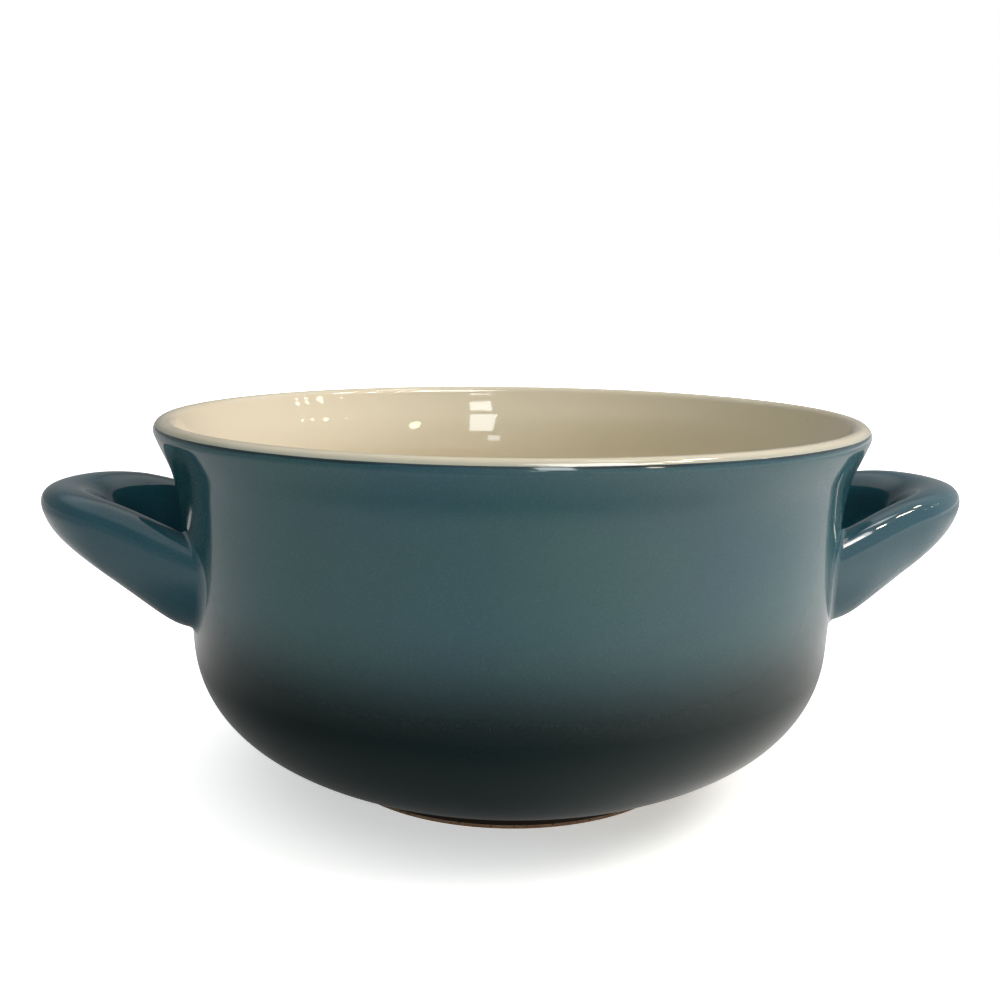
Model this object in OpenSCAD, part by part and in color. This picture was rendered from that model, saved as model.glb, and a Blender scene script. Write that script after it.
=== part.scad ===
// A double-handled soup crock in glazed stoneware, for oven and table.
// Millimetres. The origin is on the table under the middle of the bowl, +Z is up
// and +X runs through the right handle. Sizes are those of the finished, glazed pot.

/* [Bowl] */
// Outside diameter of the rim
rim_d = 140; // [134:1:160]
// Height from the table to the top of the lip
bowl_h = 73; // [66:1:84]
// Outside diameter at the top of the rounded base
belly_d = 127.4; // [120:0.2:130]
// Height of the top of the rounded base
belly_h = 29; // [25:0.5:33]
// Lean of the wall there, away from upright, in degrees
wall_lean = 3.5; // [1:0.5:6]
// Slope of the flare where it runs into the lip, away from upright, in degrees
flare_angle = 21; // [12:1:28]
// Slope of the underside where it leaves the foot, up from level, in degrees
underside_angle = 16; // [12:1:28]
// Thickness of the wall, which the lip closes with a half round
wall_t = 4; // [3.2:0.2:5]
// Thickness of the base, from the floor to the hollow under it
base_t = 5; // [4:0.25:6.5]
// Diameter of the flat part of the floor
floor_d = 44; // [34:1:52]

/* [Foot ring] */
// Outside diameter of the foot ring
foot_d = 73.4; // [65:0.2:80]
// Height of the foot ring
foot_h = 3.2; // [2.6:0.1:4.5]
// Width of the foot ring
foot_w = 5; // [3.6:0.2:7]
// Rounding of the ring's two bottom edges
foot_edge = 0.8; // [0.3:0.1:1.0]
// Radius of the hollow corner between the ring and the underside
cove_r = 1.2; // [0.6:0.1:1.4]
// Height of the bare clay under the glaze on the ring's side
foot_bare_h = 1.1; // [1.05:0.05:1.2]

/* [Glaze] */
// Thickness of every glaze coat
glaze_t = 0.35; // [0.25:0.05:0.5]
// Depth below the top of the lip at which the cream glaze ends outside
lip_line_drop = 1; // [0.8:0.1:3]
// Height at which the dark base glaze gives way to the teal glaze
fade_h = 27; // [20:0.5:30]

/* [Handles] */
// Reach of each handle's tip out past the rim
handle_reach = 22.7; // [18:0.1:28]
// Depth of the strap's top edge at the wall, below the top of the lip
handle_drop = 20; // [18:0.5:24]
// Height of the strap at the wall
strap_root_h = 19.5; // [16:0.5:21]
// Height of the strap at the tip
strap_tip_h = 10.6; // [8:0.2:12]
// Rise of the strap's top edge from the wall to the tip
tip_rise = 6.4; // [4:0.2:9]
// Thickness of the strap at the wall
strap_root_t = 12; // [10:0.2:14]
// Thickness of the strap at the tip
strap_tip_t = 12; // [9:0.2:13]
// Radius of the strap's bend, on its centre line
bend_r = 16.5; // [15:0.5:20]
// Angle by which each arm closes in towards the tip, in degrees
arm_toe = 20; // [14:1:24]
// Outward lean of the strap's faces, in degrees
strap_lean = 20; // [0:1:24]
// Length of the level heel under each arm, beside the wall
heel_l = 3.7; // [2:0.1:6]
// Radius of the fillet where an arm meets the wall
root_fillet = 1.4; // [1.2:0.2:3]

/* [Hidden] */

// Colours as fired
clay_colour = [0.62, 0.50, 0.38];
cream_colour = [0.87, 0.83, 0.73];
teal_colour = [0.24, 0.38, 0.42];
dark_colour = [0.10, 0.13, 0.13];

// Fineness of the curves
$fn = 96;
base_steps = 14;
wall_steps = 18;
lip_steps = 8;
corner_steps = 5;
section_sides = 24;
bend_steps = 16;
arm_steps = 4;
fillet_steps = 4;
cap_steps = 3;

// Reach of each curve's handles, as a share of the stretch that it spans
underside_share = 0.52;
belly_share = 0.56;
wall_share = 0.93;
lip_share = 0.25;
floor_share = 0.60;
inner_belly_share = 0.62;

// Exponent of the strap's rounded section: 2 is an oval, more is squarer
strap_square = 2.3;
// Softness of the bend in the strap's lower edge, as a share of the heel
heel_soft_share = 0.5;
// How far cutters run past what they cut
overrun = 4;
// Least step between two points of an outline
least_step = 0.02;
// Rounds of the search for where a line meets the curved wall
seek_rounds = 6;

rim_r = rim_d / 2;
belly_r = belly_d / 2;
foot_r = foot_d / 2;
lip_r = wall_t / 2;
floor_h = foot_h + base_t;

// Lines and curves

function lerp(a, b, t) = a + (b - a) * t;

function bezier_point(a, b, c, d, t) =
    pow(1 - t, 3) * a + 3 * pow(1 - t, 2) * t * b + 3 * (1 - t) * t * t * c + pow(t, 3) * d;

function bezier(a, b, c, d, steps) = [for (i = [0 : steps]) bezier_point(a, b, c, d, i / steps)];

function polar(r, angle) = r * [cos(angle), sin(angle)];

function arc(centre, r, from, to, steps) =
    [for (i = [0 : steps]) centre + polar(r, lerp(from, to, i / steps))];

function head(points) = [for (i = [0 : len(points) - 2]) points[i]];

function tail(points) = [for (i = [1 : len(points) - 1]) points[i]];

function reversed(points) = [for (i = [len(points) - 1 : -1 : 0]) points[i]];

// Direction of travel at point i of an open line
function travel(points, i) =
    let (step = points[min(i + 1, len(points) - 1)] - points[max(i - 1, 0)]) step / norm(step);

// An open line moved to its left by d
function shifted(points, d) =
    [for (i = [0 : len(points) - 1])
        let (way = travel(points, i)) points[i] + d * [-way[1], way[0]]];

// Outline of the finished pot, as radius and height

wall_way = [sin(wall_lean), cos(wall_lean)];
flare_way = [sin(flare_angle), cos(flare_angle)];
belly_point = [belly_r, belly_h];
lip_centre = [rim_r - lip_r, bowl_h - lip_r];
lip_start = lip_centre + polar(lip_r, -flare_angle);
wall_rise = lip_start[1] - belly_h;
cove_centre = [foot_r + cove_r, foot_h - cove_r];
cove = arc(cove_centre, cove_r, 180, 90 + underside_angle, corner_steps);
underside_start = cove[corner_steps];

outer_base = bezier(
    underside_start,
    underside_start + polar(underside_share * (belly_r - underside_start[0]), underside_angle),
    belly_point - belly_share * (belly_h - foot_h) * wall_way,
    belly_point,
    base_steps);
outer_wall = bezier(
    belly_point,
    belly_point + wall_share * wall_rise * wall_way,
    lip_start - lip_share * wall_rise * flare_way,
    lip_start,
    wall_steps);
outer_line = concat([[foot_r, foot_edge]], cove, tail(outer_base), tail(outer_wall));

inner_wall = shifted(outer_wall, wall_t);
inner_belly = inner_wall[0];
inner_base = bezier(
    [floor_d / 2, floor_h],
    [lerp(floor_d / 2, inner_belly[0], floor_share), floor_h],
    inner_belly - inner_belly_share * (inner_belly[1] - floor_h) * wall_way,
    inner_belly,
    base_steps);
inner_line = concat([[0, floor_h]], inner_base, tail(inner_wall));

// Half of the lip's round, from the outside to the top or from the top to the inside
function outer_lip(r) = arc(lip_centre, r, -flare_angle, 90, lip_steps);

function inner_lip(r) = arc(lip_centre, r, 90, 180 - flare_angle, lip_steps);

// The outside from the foot to the top of the lip, at the glaze's face and the clay's
glaze_face = concat(head(outer_line), outer_lip(lip_r));
clay_face = concat(head(shifted(outer_line, glaze_t)), outer_lip(lip_r - glaze_t));
clay_floor = shifted(inner_line, -glaze_t);

function heights_first(line) = [for (p = line) [p[1], p[0]]];

glaze_table = heights_first(glaze_face);
clay_table = heights_first(clay_face);

// Outside radius at height z
function glaze_radius(z) = lookup(z, glaze_table);

function clay_radius(z) = lookup(z, clay_table);

function between(line, low, high) =
    [for (p = line) if (p[1] > low + least_step && p[1] < high - least_step) p];

// Outline of the coat on the outside, from one height to another
function coat_outline(low, high) = concat(
    [[glaze_radius(low), low]],
    between(glaze_face, low, high),
    [[glaze_radius(high), high], [clay_radius(high), high]],
    reversed(between(clay_face, low, high)),
    [[clay_radius(low), low]]);

lip_line_h = bowl_h - lip_line_drop;

// The strap of a handle: two arms that toe in, joined by a bend

root_top_h = bowl_h - handle_drop;
root_bottom_h = root_top_h - strap_root_h;
tip_bottom_h = root_top_h + tip_rise - strap_tip_h;

// Where the base glaze gives way to the teal: at the fade, but clear below the arms' fillets
teal_start_h = min(fade_h, root_bottom_h - 2 * root_fillet);

// How far the leaning section reaches out past its centre line at the tip
lean_slope = tan(strap_lean);
reach_power = strap_square / (strap_square - 1);
tip_reach = pow(
    pow(strap_tip_t / 2, reach_power) + pow(lean_slope * strap_tip_h / 2, reach_power),
    1 / reach_power);
tip_x = rim_r + handle_reach - tip_reach;
bend_centre = [tip_x - bend_r, 0];
bend_half_angle = 90 - arm_toe;
arm_start = bend_centre + polar(bend_r, bend_half_angle);
arm_way = [-cos(arm_toe), sin(arm_toe)];
arm_side = [sin(arm_toe), cos(arm_toe)];

// Distance from a point outside a circle round the axis to it, along a direction
function reach(from, way, r) =
    let (near = from * way) -near - sqrt(max(near * near - from * from + r * r, 0));

root_x = (arm_start
    + arm_way * reach(arm_start, arm_way, glaze_radius((root_top_h + root_bottom_h) / 2)))[0];
heel_x = root_x + heel_l;
heel_soft = heel_soft_share * heel_l;
lower_slope = (tip_bottom_h - root_bottom_h) / (tip_x - heel_x);

// Share of the way from the wall to the tip, at distance x from the axis
function climb(x) = min(max((x - root_x) / (tip_x - root_x), -1), 1);

function strap_top(x) = root_top_h + tip_rise * sin(90 * climb(x));

function strap_bottom(x) =
    let (rise = lower_slope * (x - heel_x)) root_bottom_h + (rise + norm([rise, heel_soft])) / 2;

function strap_half_t(x) = lerp(strap_root_t, strap_tip_t, climb(x)) / 2;

// One coordinate of the rounded section, whose half width is 1
function rounded(share) = sign(share) * pow(abs(share), 2 / strap_square);

// Point at an angle round the section, seen along the strap, as distance outwards and height;
// the section is grown by g all round and then scaled about its middle by k
function section_point(x, angle, g, k) =
    let (
        half_h = (strap_top(x) - strap_bottom(x)) / 2 + g,
        up = k * half_h * rounded(sin(angle)),
        out = k * (strap_half_t(x) + g) * rounded(cos(angle)) + lean_slope * up)
    [out, (strap_top(x) + strap_bottom(x)) / 2 + up];

// The same point in space, for the section at p whose outward side faces way
function strap_point(p, side, angle, g, k = 1) =
    let (s = section_point(p[0], angle, g, k), q = p + s[0] * side) [q[0], q[1], s[1]];

function arm_point(s, angle, g, k = 1) =
    strap_point(arm_start + s * arm_way, arm_side, angle, g, k);

// Distance along the arm at which a line of the strap's surface meets the wall
function wall_distance(wall, angle, g, k, s = 0, rounds = seek_rounds) =
    rounds == 0
        ? s
        : let (
            p = arm_point(s, angle, g, k),
            r = wall == "clay" ? clay_radius(p[2]) : glaze_radius(p[2]),
            further = s + reach([p[0], p[1]], arm_way, r))
        wall_distance(wall, angle, g, k, further, rounds - 1);

section_angles = [for (i = [0 : section_sides - 1]) 360 * i / section_sides];

// Ring on the wall, for a section scaled by k
function root_ring(wall, g, k = 1) =
    [for (a = section_angles) arm_point(wall_distance(wall, a, g, k), a, g, k)];

// Rings of the fillet, from the wall out to the plain strap
function fillet_rings(wall, g) =
    [for (i = [0 : fillet_steps])
        let (turn = 90 * (1 - i / fillet_steps), grown = g + root_fillet * (1 - cos(turn)))
        [for (a = section_angles)
            let (seat = wall_distance(wall, a, grown, 1))
            arm_point(seat - root_fillet * (1 - sin(turn)), a, grown)]];

function arm_rings(wall, g) =
    [for (i = [1 : arm_steps - 1])
        [for (a = section_angles)
            let (length = wall_distance(wall, a, g, 1) - root_fillet)
            arm_point(length * (1 - i / arm_steps), a, g)]];

function bend_rings(g) =
    [for (i = [0 : bend_steps])
        let (turn = lerp(bend_half_angle, -bend_half_angle, i / bend_steps))
        [for (a = section_angles)
            strap_point(bend_centre + polar(bend_r, turn), polar(1, turn), a, g)]];

function other_side(ring) = [for (p = ring) [p[0], -p[1], p[2]]];

function other_sides(rings) = [for (i = [len(rings) - 1 : -1 : 0]) other_side(rings[i])];

// All rings of the strap, from the wall behind to the wall in front
function strap_rings(wall, g) =
    let (arm = concat(fillet_rings(wall, g), arm_rings(wall, g)))
    concat(arm, bend_rings(g), other_sides(arm));

// Rings that close the strap's end on the curved wall, from its middle outwards
function end_rings(wall, g) =
    [for (i = [1 : cap_steps - 1]) root_ring(wall, g + root_fillet, i / cap_steps)];

function end_middle(wall, g) = root_ring(wall, g + root_fillet, 0)[0];

function flat(rings) = [for (ring = rings) for (p = ring) p];

// Two triangles between each pair of neighbours on rings i and j, parted along the one
// diagonal on a row that runs out, and along the other on a row that runs back
function band_faces(i, j, sides, first, back = false) =
    [for (a = [0 : sides - 1])
        let (
            b = (a + 1) % sides,
            near = first + i * sides,
            far = first + j * sides)
        for (face = back
            ? [[near + a, far + a, near + b], [near + b, far + a, far + b]]
            : [[near + a, far + b, near + b], [near + a, far + a, far + b]]) face];

// Solid from a row of rings, closed by a fan to a middle point at each end
module ring_solid(rings, start, end) {
    sides = len(rings[0]);
    count = len(rings);
    last = 1 + count * sides;
    bands = [for (i = [0 : count - 2]) for (f = band_faces(i, i + 1, sides, 1)) f];
    start_fan = [for (a = [0 : sides - 1]) [0, 1 + a, 1 + (a + 1) % sides]];
    end_fan = [for (a = [0 : sides - 1]) [last, last - sides + (a + 1) % sides, last - sides + a]];
    polyhedron(concat([start], flat(rings), [end]), concat(start_fan, bands, end_fan));
}

// Shell from outer rings that run out and inner rings that run back; its inner faces are
// those of a ring_solid on the same inner rings, so the two fit face to face
module ring_shell(outer, inner) {
    sides = len(outer[0]);
    rings = concat(outer, reversed(inner));
    count = len(rings);
    polyhedron(
        flat(rings),
        [for (i = [0 : count - 1])
            for (f = band_faces(i, (i + 1) % count, sides, 0, i >= len(outer))) f]);
}

module handle() {
    rings = concat(
        end_rings("clay", -glaze_t),
        strap_rings("clay", -glaze_t),
        other_sides(end_rings("clay", -glaze_t)));
    middle = end_middle("clay", -glaze_t);
    ring_solid(rings, middle, other_side([middle])[0]);
}

// The coat's outer face ends on the clay, straight through the bowl's own coat
module handle_glaze() {
    edge = root_ring("glaze", root_fillet);
    clay_edge = [for (p = edge)
        let (
            plan = [p[0], p[1]],
            q = plan + arm_way * reach(plan, arm_way, clay_radius(p[2])))
        [q[0], q[1], p[2]]];
    outer = concat([clay_edge], strap_rings("glaze", 0), [other_side(clay_edge)]);
    ring_shell(outer, strap_rings("clay", -glaze_t));
}

// Cuts the bowl's coat away under one arm, to the edge of the handle's fillet
module root_cutter() {
    edge = root_ring("glaze", root_fillet);
    middle = root_ring("glaze", root_fillet, 0)[0];
    past = overrun * [arm_way[0], arm_way[1], 0];
    ring_solid(
        [[for (p = edge) p + past], [for (p = edge) p - past]],
        middle + past,
        middle - past);
}

// Puts its children on the right arm behind, and on the other three arms
module on_each_arm() {
    for (turn = [0, 180])
        rotate([0, 0, turn]) {
            children();
            mirror([0, 1, 0])
                children();
        }
}

// Bowl and its coats

well_r = foot_r - foot_w;
well_top_h = foot_h + glaze_t;

module clay_body() {
    ring_r = foot_r - glaze_t;
    color(clay_colour)
        rotate_extrude()
            polygon(concat(
                arc([well_r + foot_edge, foot_edge], foot_edge, 180, 270, corner_steps),
                arc([ring_r - foot_edge, foot_edge], foot_edge, 270, 360, corner_steps),
                tail(clay_face),
                tail(inner_lip(lip_r - glaze_t)),
                tail(reversed(clay_floor)),
                [[0, well_top_h], [well_r, well_top_h]]));
}

module liner_glaze() {
    color(cream_colour)
        rotate_extrude()
            polygon(concat(
                [[glaze_radius(lip_line_h), lip_line_h]],
                between(glaze_face, lip_line_h, bowl_h),
                inner_lip(lip_r),
                tail(reversed(inner_line)),
                head(clay_floor),
                reversed(inner_lip(lip_r - glaze_t)),
                reversed(between(clay_face, lip_line_h, bowl_h - glaze_t)),
                [[clay_radius(lip_line_h), lip_line_h]]));
}

module teal_glaze() {
    color(teal_colour)
        difference() {
            rotate_extrude()
                polygon(coat_outline(teal_start_h, lip_line_h));
            on_each_arm()
                root_cutter();
        }
}

module base_glaze() {
    color(dark_colour)
        rotate_extrude()
            polygon(coat_outline(foot_bare_h, teal_start_h));
}

module well_glaze() {
    color(dark_colour)
        translate([0, 0, foot_h])
            cylinder(r = well_r, h = glaze_t);
}

// Handles and their coats

module right_handle() {
    color(clay_colour)
        handle();
}

module left_handle() {
    color(clay_colour)
        rotate([0, 0, 180])
            handle();
}

module right_handle_glaze() {
    color(teal_colour)
        handle_glaze();
}

module left_handle_glaze() {
    color(teal_colour)
        rotate([0, 0, 180])
            handle_glaze();
}

clay_body();
left_handle();
right_handle();
liner_glaze();
teal_glaze();
base_glaze();
well_glaze();
left_handle_glaze();
right_handle_glaze();
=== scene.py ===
from math import cos, pi, radians, sin, tan

import bpy
from mathutils import Matrix, Vector


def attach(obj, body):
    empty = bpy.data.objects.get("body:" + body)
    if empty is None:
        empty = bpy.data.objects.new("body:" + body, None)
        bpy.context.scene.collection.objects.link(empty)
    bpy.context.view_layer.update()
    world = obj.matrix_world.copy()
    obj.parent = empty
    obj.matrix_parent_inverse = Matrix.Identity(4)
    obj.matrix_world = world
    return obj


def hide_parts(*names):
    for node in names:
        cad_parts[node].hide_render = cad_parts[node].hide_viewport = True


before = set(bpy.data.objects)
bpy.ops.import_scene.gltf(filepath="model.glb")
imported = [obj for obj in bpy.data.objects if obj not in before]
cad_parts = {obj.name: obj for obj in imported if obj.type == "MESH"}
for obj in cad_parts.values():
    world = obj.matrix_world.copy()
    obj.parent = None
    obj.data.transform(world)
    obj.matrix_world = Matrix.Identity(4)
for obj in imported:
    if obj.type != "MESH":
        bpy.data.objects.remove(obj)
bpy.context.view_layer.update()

MM = 0.001

# The pot's sizes in millimetres, as in the part's source
RIM_R = 70.0
BOWL_H = 73.0
BELLY_R = 63.7
BELLY_H = 29.0
WALL_LEAN = radians(3.5)
FLARE_ANGLE = radians(21)
UNDERSIDE_ANGLE = radians(16)
WALL_T = 4.0
BASE_T = 5.0
FLOOR_R = 22.0
FOOT_R = 36.7
FOOT_H = 3.2
FOOT_W = 5.0
FOOT_EDGE = 0.8
COVE_R = 1.2
FOOT_BARE_H = 1.1
GLAZE_T = 0.35
LIP_LINE_H = 72.0
HANDLE_REACH = 22.7
ROOT_TOP_H = 53.0
ROOT_BOTTOM_H = 33.5
TIP_H = 10.6
TIP_RISE = 6.4
ROOT_T = 12.0
TIP_T = 12.0
BEND_R = 16.5
ARM_TOE = radians(20)
LEAN_SLOPE = tan(radians(20))
HEEL_L = 3.7
HEEL_SOFT = 1.85
ROOT_FILLET = 1.4
SQUARENESS = 2.3
UNDERSIDE_SHARE, BELLY_SHARE, WALL_SHARE, LIP_SHARE = 0.52, 0.56, 0.93, 0.25
FLOOR_SHARE, INNER_BELLY_SHARE = 0.60, 0.62

# Fineness of the finished meshes
ROUND_SIDES = 256
ROUND_CREASE, STRAP_CREASE = radians(40), radians(50)
MERGE_GAP = 1e-6
BASE_STEPS = 48
WALL_STEPS = 60
ARC_STEPS = 12
SECTION_SIDES = 72
BEND_STEPS = 56
ARM_STEPS = 14
FILLET_STEPS = 12
FILLET_CROWDING = 1.5

# Search for the wall: its rounds, and how far back along the arm each ray starts
SEEK_ROUNDS = 5
SEEK_LEAD = 8.0


# Lines and curves, as points of radius and height

def point(r, z):
    return Vector((r, z))


def way_up(angle):
    """Direction that leans outwards from upright by the angle."""
    return Vector((sin(angle), cos(angle)))


def polar(r, angle):
    return Vector((r * cos(angle), r * sin(angle)))


def bezier(a, b, c, d, steps):
    line = []
    for i in range(steps + 1):
        t = i / steps
        line.append((1 - t) ** 3 * a + 3 * (1 - t) ** 2 * t * b
                    + 3 * (1 - t) * t * t * c + t ** 3 * d)
    return line


def arc(centre, r, start, end, steps=ARC_STEPS):
    return [centre + polar(r, start + (end - start) * i / steps) for i in range(steps + 1)]


def shifted(line, distance):
    """The line moved to its left."""
    moved = []
    for i, p in enumerate(line):
        step = (line[min(i + 1, len(line) - 1)] - line[max(i - 1, 0)]).normalized()
        moved.append(p + distance * Vector((-step.y, step.x)))
    return moved


def radius_at(line, height):
    """Radius of a rising line at a height."""
    for low, high in zip(line, line[1:]):
        if low.y <= height <= high.y:
            share = (height - low.y) / (high.y - low.y)
            return low.x + share * (high.x - low.x)
    raise ValueError("the line doesn't reach that height")


def between(line, low, high, least=0.02):
    """The line's points between two heights, and not close to either."""
    return [p for p in line if low + least < p.y < high - least]


# Outline of the pot

belly = point(BELLY_R, BELLY_H)
lip_r = WALL_T / 2
lip_centre = point(RIM_R - lip_r, BOWL_H - lip_r)
lip_start = lip_centre + polar(lip_r, -FLARE_ANGLE)
wall_rise = lip_start.y - BELLY_H
floor_h = FOOT_H + BASE_T

cove = arc(point(FOOT_R + COVE_R, FOOT_H - COVE_R), COVE_R, pi, pi / 2 + UNDERSIDE_ANGLE)
underside_reach = UNDERSIDE_SHARE * (BELLY_R - cove[-1].x)
outer_base = bezier(
    cove[-1],
    cove[-1] + polar(underside_reach, UNDERSIDE_ANGLE),
    belly - BELLY_SHARE * (BELLY_H - FOOT_H) * way_up(WALL_LEAN),
    belly,
    BASE_STEPS)
outer_wall = bezier(
    belly,
    belly + WALL_SHARE * wall_rise * way_up(WALL_LEAN),
    lip_start - LIP_SHARE * wall_rise * way_up(FLARE_ANGLE),
    lip_start,
    WALL_STEPS)
outer_line = [point(FOOT_R, FOOT_EDGE)] + cove + outer_base[1:] + outer_wall[1:]

inner_wall = shifted(outer_wall, WALL_T)
inner_base = bezier(
    point(FLOOR_R, floor_h),
    point(FLOOR_R + FLOOR_SHARE * (inner_wall[0].x - FLOOR_R), floor_h),
    inner_wall[0] - INNER_BELLY_SHARE * (inner_wall[0].y - floor_h) * way_up(WALL_LEAN),
    inner_wall[0],
    BASE_STEPS)
inner_line = [point(0, floor_h)] + inner_base + inner_wall[1:]


def outer_lip(r):
    return arc(lip_centre, r, -FLARE_ANGLE, pi / 2)


def inner_lip(r):
    return arc(lip_centre, r, pi / 2, pi - FLARE_ANGLE)


glaze_face = outer_line[:-1] + outer_lip(lip_r)
clay_face = shifted(outer_line, GLAZE_T)[:-1] + outer_lip(lip_r - GLAZE_T)
clay_floor = shifted(inner_line, -GLAZE_T)


def coat_outline(low, high):
    """Outline of the coat on the outside, from one height to another."""
    return (
        [point(radius_at(glaze_face, low), low)]
        + between(glaze_face, low, high)
        + [point(radius_at(glaze_face, high), high), point(radius_at(clay_face, high), high)]
        + between(clay_face, low, high)[::-1]
        + [point(radius_at(clay_face, low), low)])


def clay_outline():
    ring_r = FOOT_R - GLAZE_T
    well_r = FOOT_R - FOOT_W
    return (
        arc(point(well_r + FOOT_EDGE, FOOT_EDGE), FOOT_EDGE, pi, 1.5 * pi)
        + arc(point(ring_r - FOOT_EDGE, FOOT_EDGE), FOOT_EDGE, 1.5 * pi, 2 * pi)
        + clay_face[1:]
        + inner_lip(lip_r - GLAZE_T)[1:]
        + clay_floor[::-1][1:]
        + [point(0, FOOT_H + GLAZE_T), point(well_r, FOOT_H + GLAZE_T)])


def liner_outline():
    return (
        [point(radius_at(glaze_face, LIP_LINE_H), LIP_LINE_H)]
        + between(glaze_face, LIP_LINE_H, BOWL_H)
        + inner_lip(lip_r)
        + inner_line[::-1][1:]
        + clay_floor[:-1]
        + inner_lip(lip_r - GLAZE_T)[::-1]
        + between(clay_face, LIP_LINE_H, BOWL_H - GLAZE_T)[::-1]
        + [point(radius_at(clay_face, LIP_LINE_H), LIP_LINE_H)])


# Node trees, written as sums

class Wire:
    """A value in a node tree. Sums, products and the like add the nodes for them."""

    def __init__(self, tree, socket):
        self.tree = tree
        self.socket = socket

    def _math(self, operation, *values):
        return joined(self.tree, "ShaderNodeMath", 0, *values, operation=operation)

    def __add__(self, other):
        return self._math("ADD", self, other)

    def __radd__(self, other):
        return self._math("ADD", other, self)

    def __sub__(self, other):
        return self._math("SUBTRACT", self, other)

    def __rsub__(self, other):
        return self._math("SUBTRACT", other, self)

    def __mul__(self, other):
        return self._math("MULTIPLY", self, other)

    def __rmul__(self, other):
        return self._math("MULTIPLY", other, self)

    def __truediv__(self, other):
        return self._math("DIVIDE", self, other)

    def __rtruediv__(self, other):
        return self._math("DIVIDE", other, self)

    def __pow__(self, other):
        return self._math("POWER", self, other)

    def clamped(self, low=0.0, high=1.0):
        return self._math("MINIMUM", self._math("MAXIMUM", self, low), high)

    def called(self, operation):
        """The value put through a Math node's own function, such as SQRT."""
        return self._math(operation, self)


def eased(t):
    """A wire eased from 0 to 1, with level ends."""
    t = t.clamped()
    return t * t * (3.0 - t * 2.0)


def feed(tree, socket, value):
    """Link a wire to a socket, or set the socket to a plain value."""
    if isinstance(value, Wire):
        tree.links.new(value.socket, socket)
    else:
        socket.default_value = value


def joined(tree, kind, output, *values, **settings):
    """Add a node with its inputs fed in order, and give one of its outputs."""
    node = tree.nodes.new(kind)
    for name, value in settings.items():
        setattr(node, name, value)
    for socket, value in zip([s for s in node.inputs if s.enabled], values):
        feed(tree, socket, value)
    return Wire(tree, node.outputs[output])


def vector_sum(tree, a, b):
    return joined(tree, "ShaderNodeVectorMath", 0, a, b, operation="ADD")


def vector_times(tree, vector, number):
    node = tree.nodes.new("ShaderNodeVectorMath")
    node.operation = "SCALE"
    feed(tree, node.inputs["Vector"], vector)
    feed(tree, node.inputs["Scale"], number)
    return Wire(tree, node.outputs[0])


def parts_of(tree, vector):
    """The three numbers of a vector."""
    node = tree.nodes.new("ShaderNodeSeparateXYZ")
    feed(tree, node.inputs[0], vector)
    return [Wire(tree, socket) for socket in node.outputs]


def vector_of(tree, x, y, z):
    return joined(tree, "ShaderNodeCombineXYZ", 0, x, y, z)


def new_tree(name, kind, inlets, outlets):
    """A node group with its sockets, and its inputs as wires by name."""
    tree = bpy.data.node_groups.new(name, kind)
    for label, socket_type, default in inlets:
        socket = tree.interface.new_socket(label, in_out="INPUT", socket_type=socket_type)
        if default is not None:
            socket.default_value = default
    for label, socket_type in outlets:
        tree.interface.new_socket(label, in_out="OUTPUT", socket_type=socket_type)
    entry = tree.nodes.new("NodeGroupInput")
    leave = tree.nodes.new("NodeGroupOutput")
    wires = {socket.name: Wire(tree, socket) for socket in entry.outputs if socket.name}
    return tree, wires, leave


FLOAT, WHOLE, VECTOR = "NodeSocketFloat", "NodeSocketInt", "NodeSocketVector"
SHAPE, FINISH, THING = "NodeSocketGeometry", "NodeSocketMaterial", "NodeSocketObject"


def soft_shaded(tree, mesh, crease):
    """Smooth shading, with edges sharper than the crease angle kept."""
    smooth = joined(tree, "GeometryNodeSetShadeSmooth", 0, mesh, True, True, domain="FACE")
    angle = joined(tree, "GeometryNodeInputMeshEdgeAngle", "Unsigned Angle")
    soft = joined(
        tree, "FunctionNodeCompare", 0, angle, crease, data_type="FLOAT", operation="LESS_THAN")
    return joined(tree, "GeometryNodeSetShadeSmooth", 0, smooth, True, soft, domain="EDGE")


def finished(tree, leave, mesh, finish):
    """End of a tree: instances made real and the material set."""
    real = joined(tree, "GeometryNodeRealizeInstances", 0, mesh)
    painted = joined(tree, "GeometryNodeSetMaterial", 0, real, True, finish)
    feed(tree, leave.inputs[0], painted)


def turned_form_tree():
    """Turns the object's own outline round the Z axis, as on a wheel."""
    tree, inlet, leave = new_tree("turned_form", "GeometryNodeTree", [
        ("Outline", SHAPE, None),
        ("Sides", WHOLE, ROUND_SIDES),
        ("Wheel Radius", FLOAT, BELLY_R * MM),
        ("Crease Angle", FLOAT, ROUND_CREASE),
        ("Material", FINISH, None),
    ], [("Geometry", SHAPE)])
    outline = joined(tree, "GeometryNodeMeshToCurve", 0, inlet["Outline"])
    wheel = tree.nodes.new("GeometryNodeCurvePrimitiveCircle")
    feed(tree, wheel.inputs["Resolution"], inlet["Sides"])
    feed(tree, wheel.inputs["Radius"], inlet["Wheel Radius"])
    turned = tree.nodes.new("GeometryNodeCurveToMesh")
    tree.links.new(wheel.outputs["Curve"], turned.inputs["Curve"])
    feed(tree, turned.inputs["Profile Curve"], outline)
    closed = joined(
        tree, "GeometryNodeMergeByDistance", 0, Wire(tree, turned.outputs[0]), True, MERGE_GAP)
    finished(tree, leave, soft_shaded(tree, closed, inlet["Crease Angle"]), inlet["Material"])
    return tree


def named(tree, name, kind):
    """A named attribute of the geometry."""
    return joined(tree, "GeometryNodeInputNamedAttribute", "Attribute", name, data_type=kind)


def stored(tree, geometry, name, kind, value):
    """Keep a value on each point under a name."""
    return joined(tree, "GeometryNodeStoreNamedAttribute", 0, geometry, True, name, value,
                  data_type=kind, domain="POINT")


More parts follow.
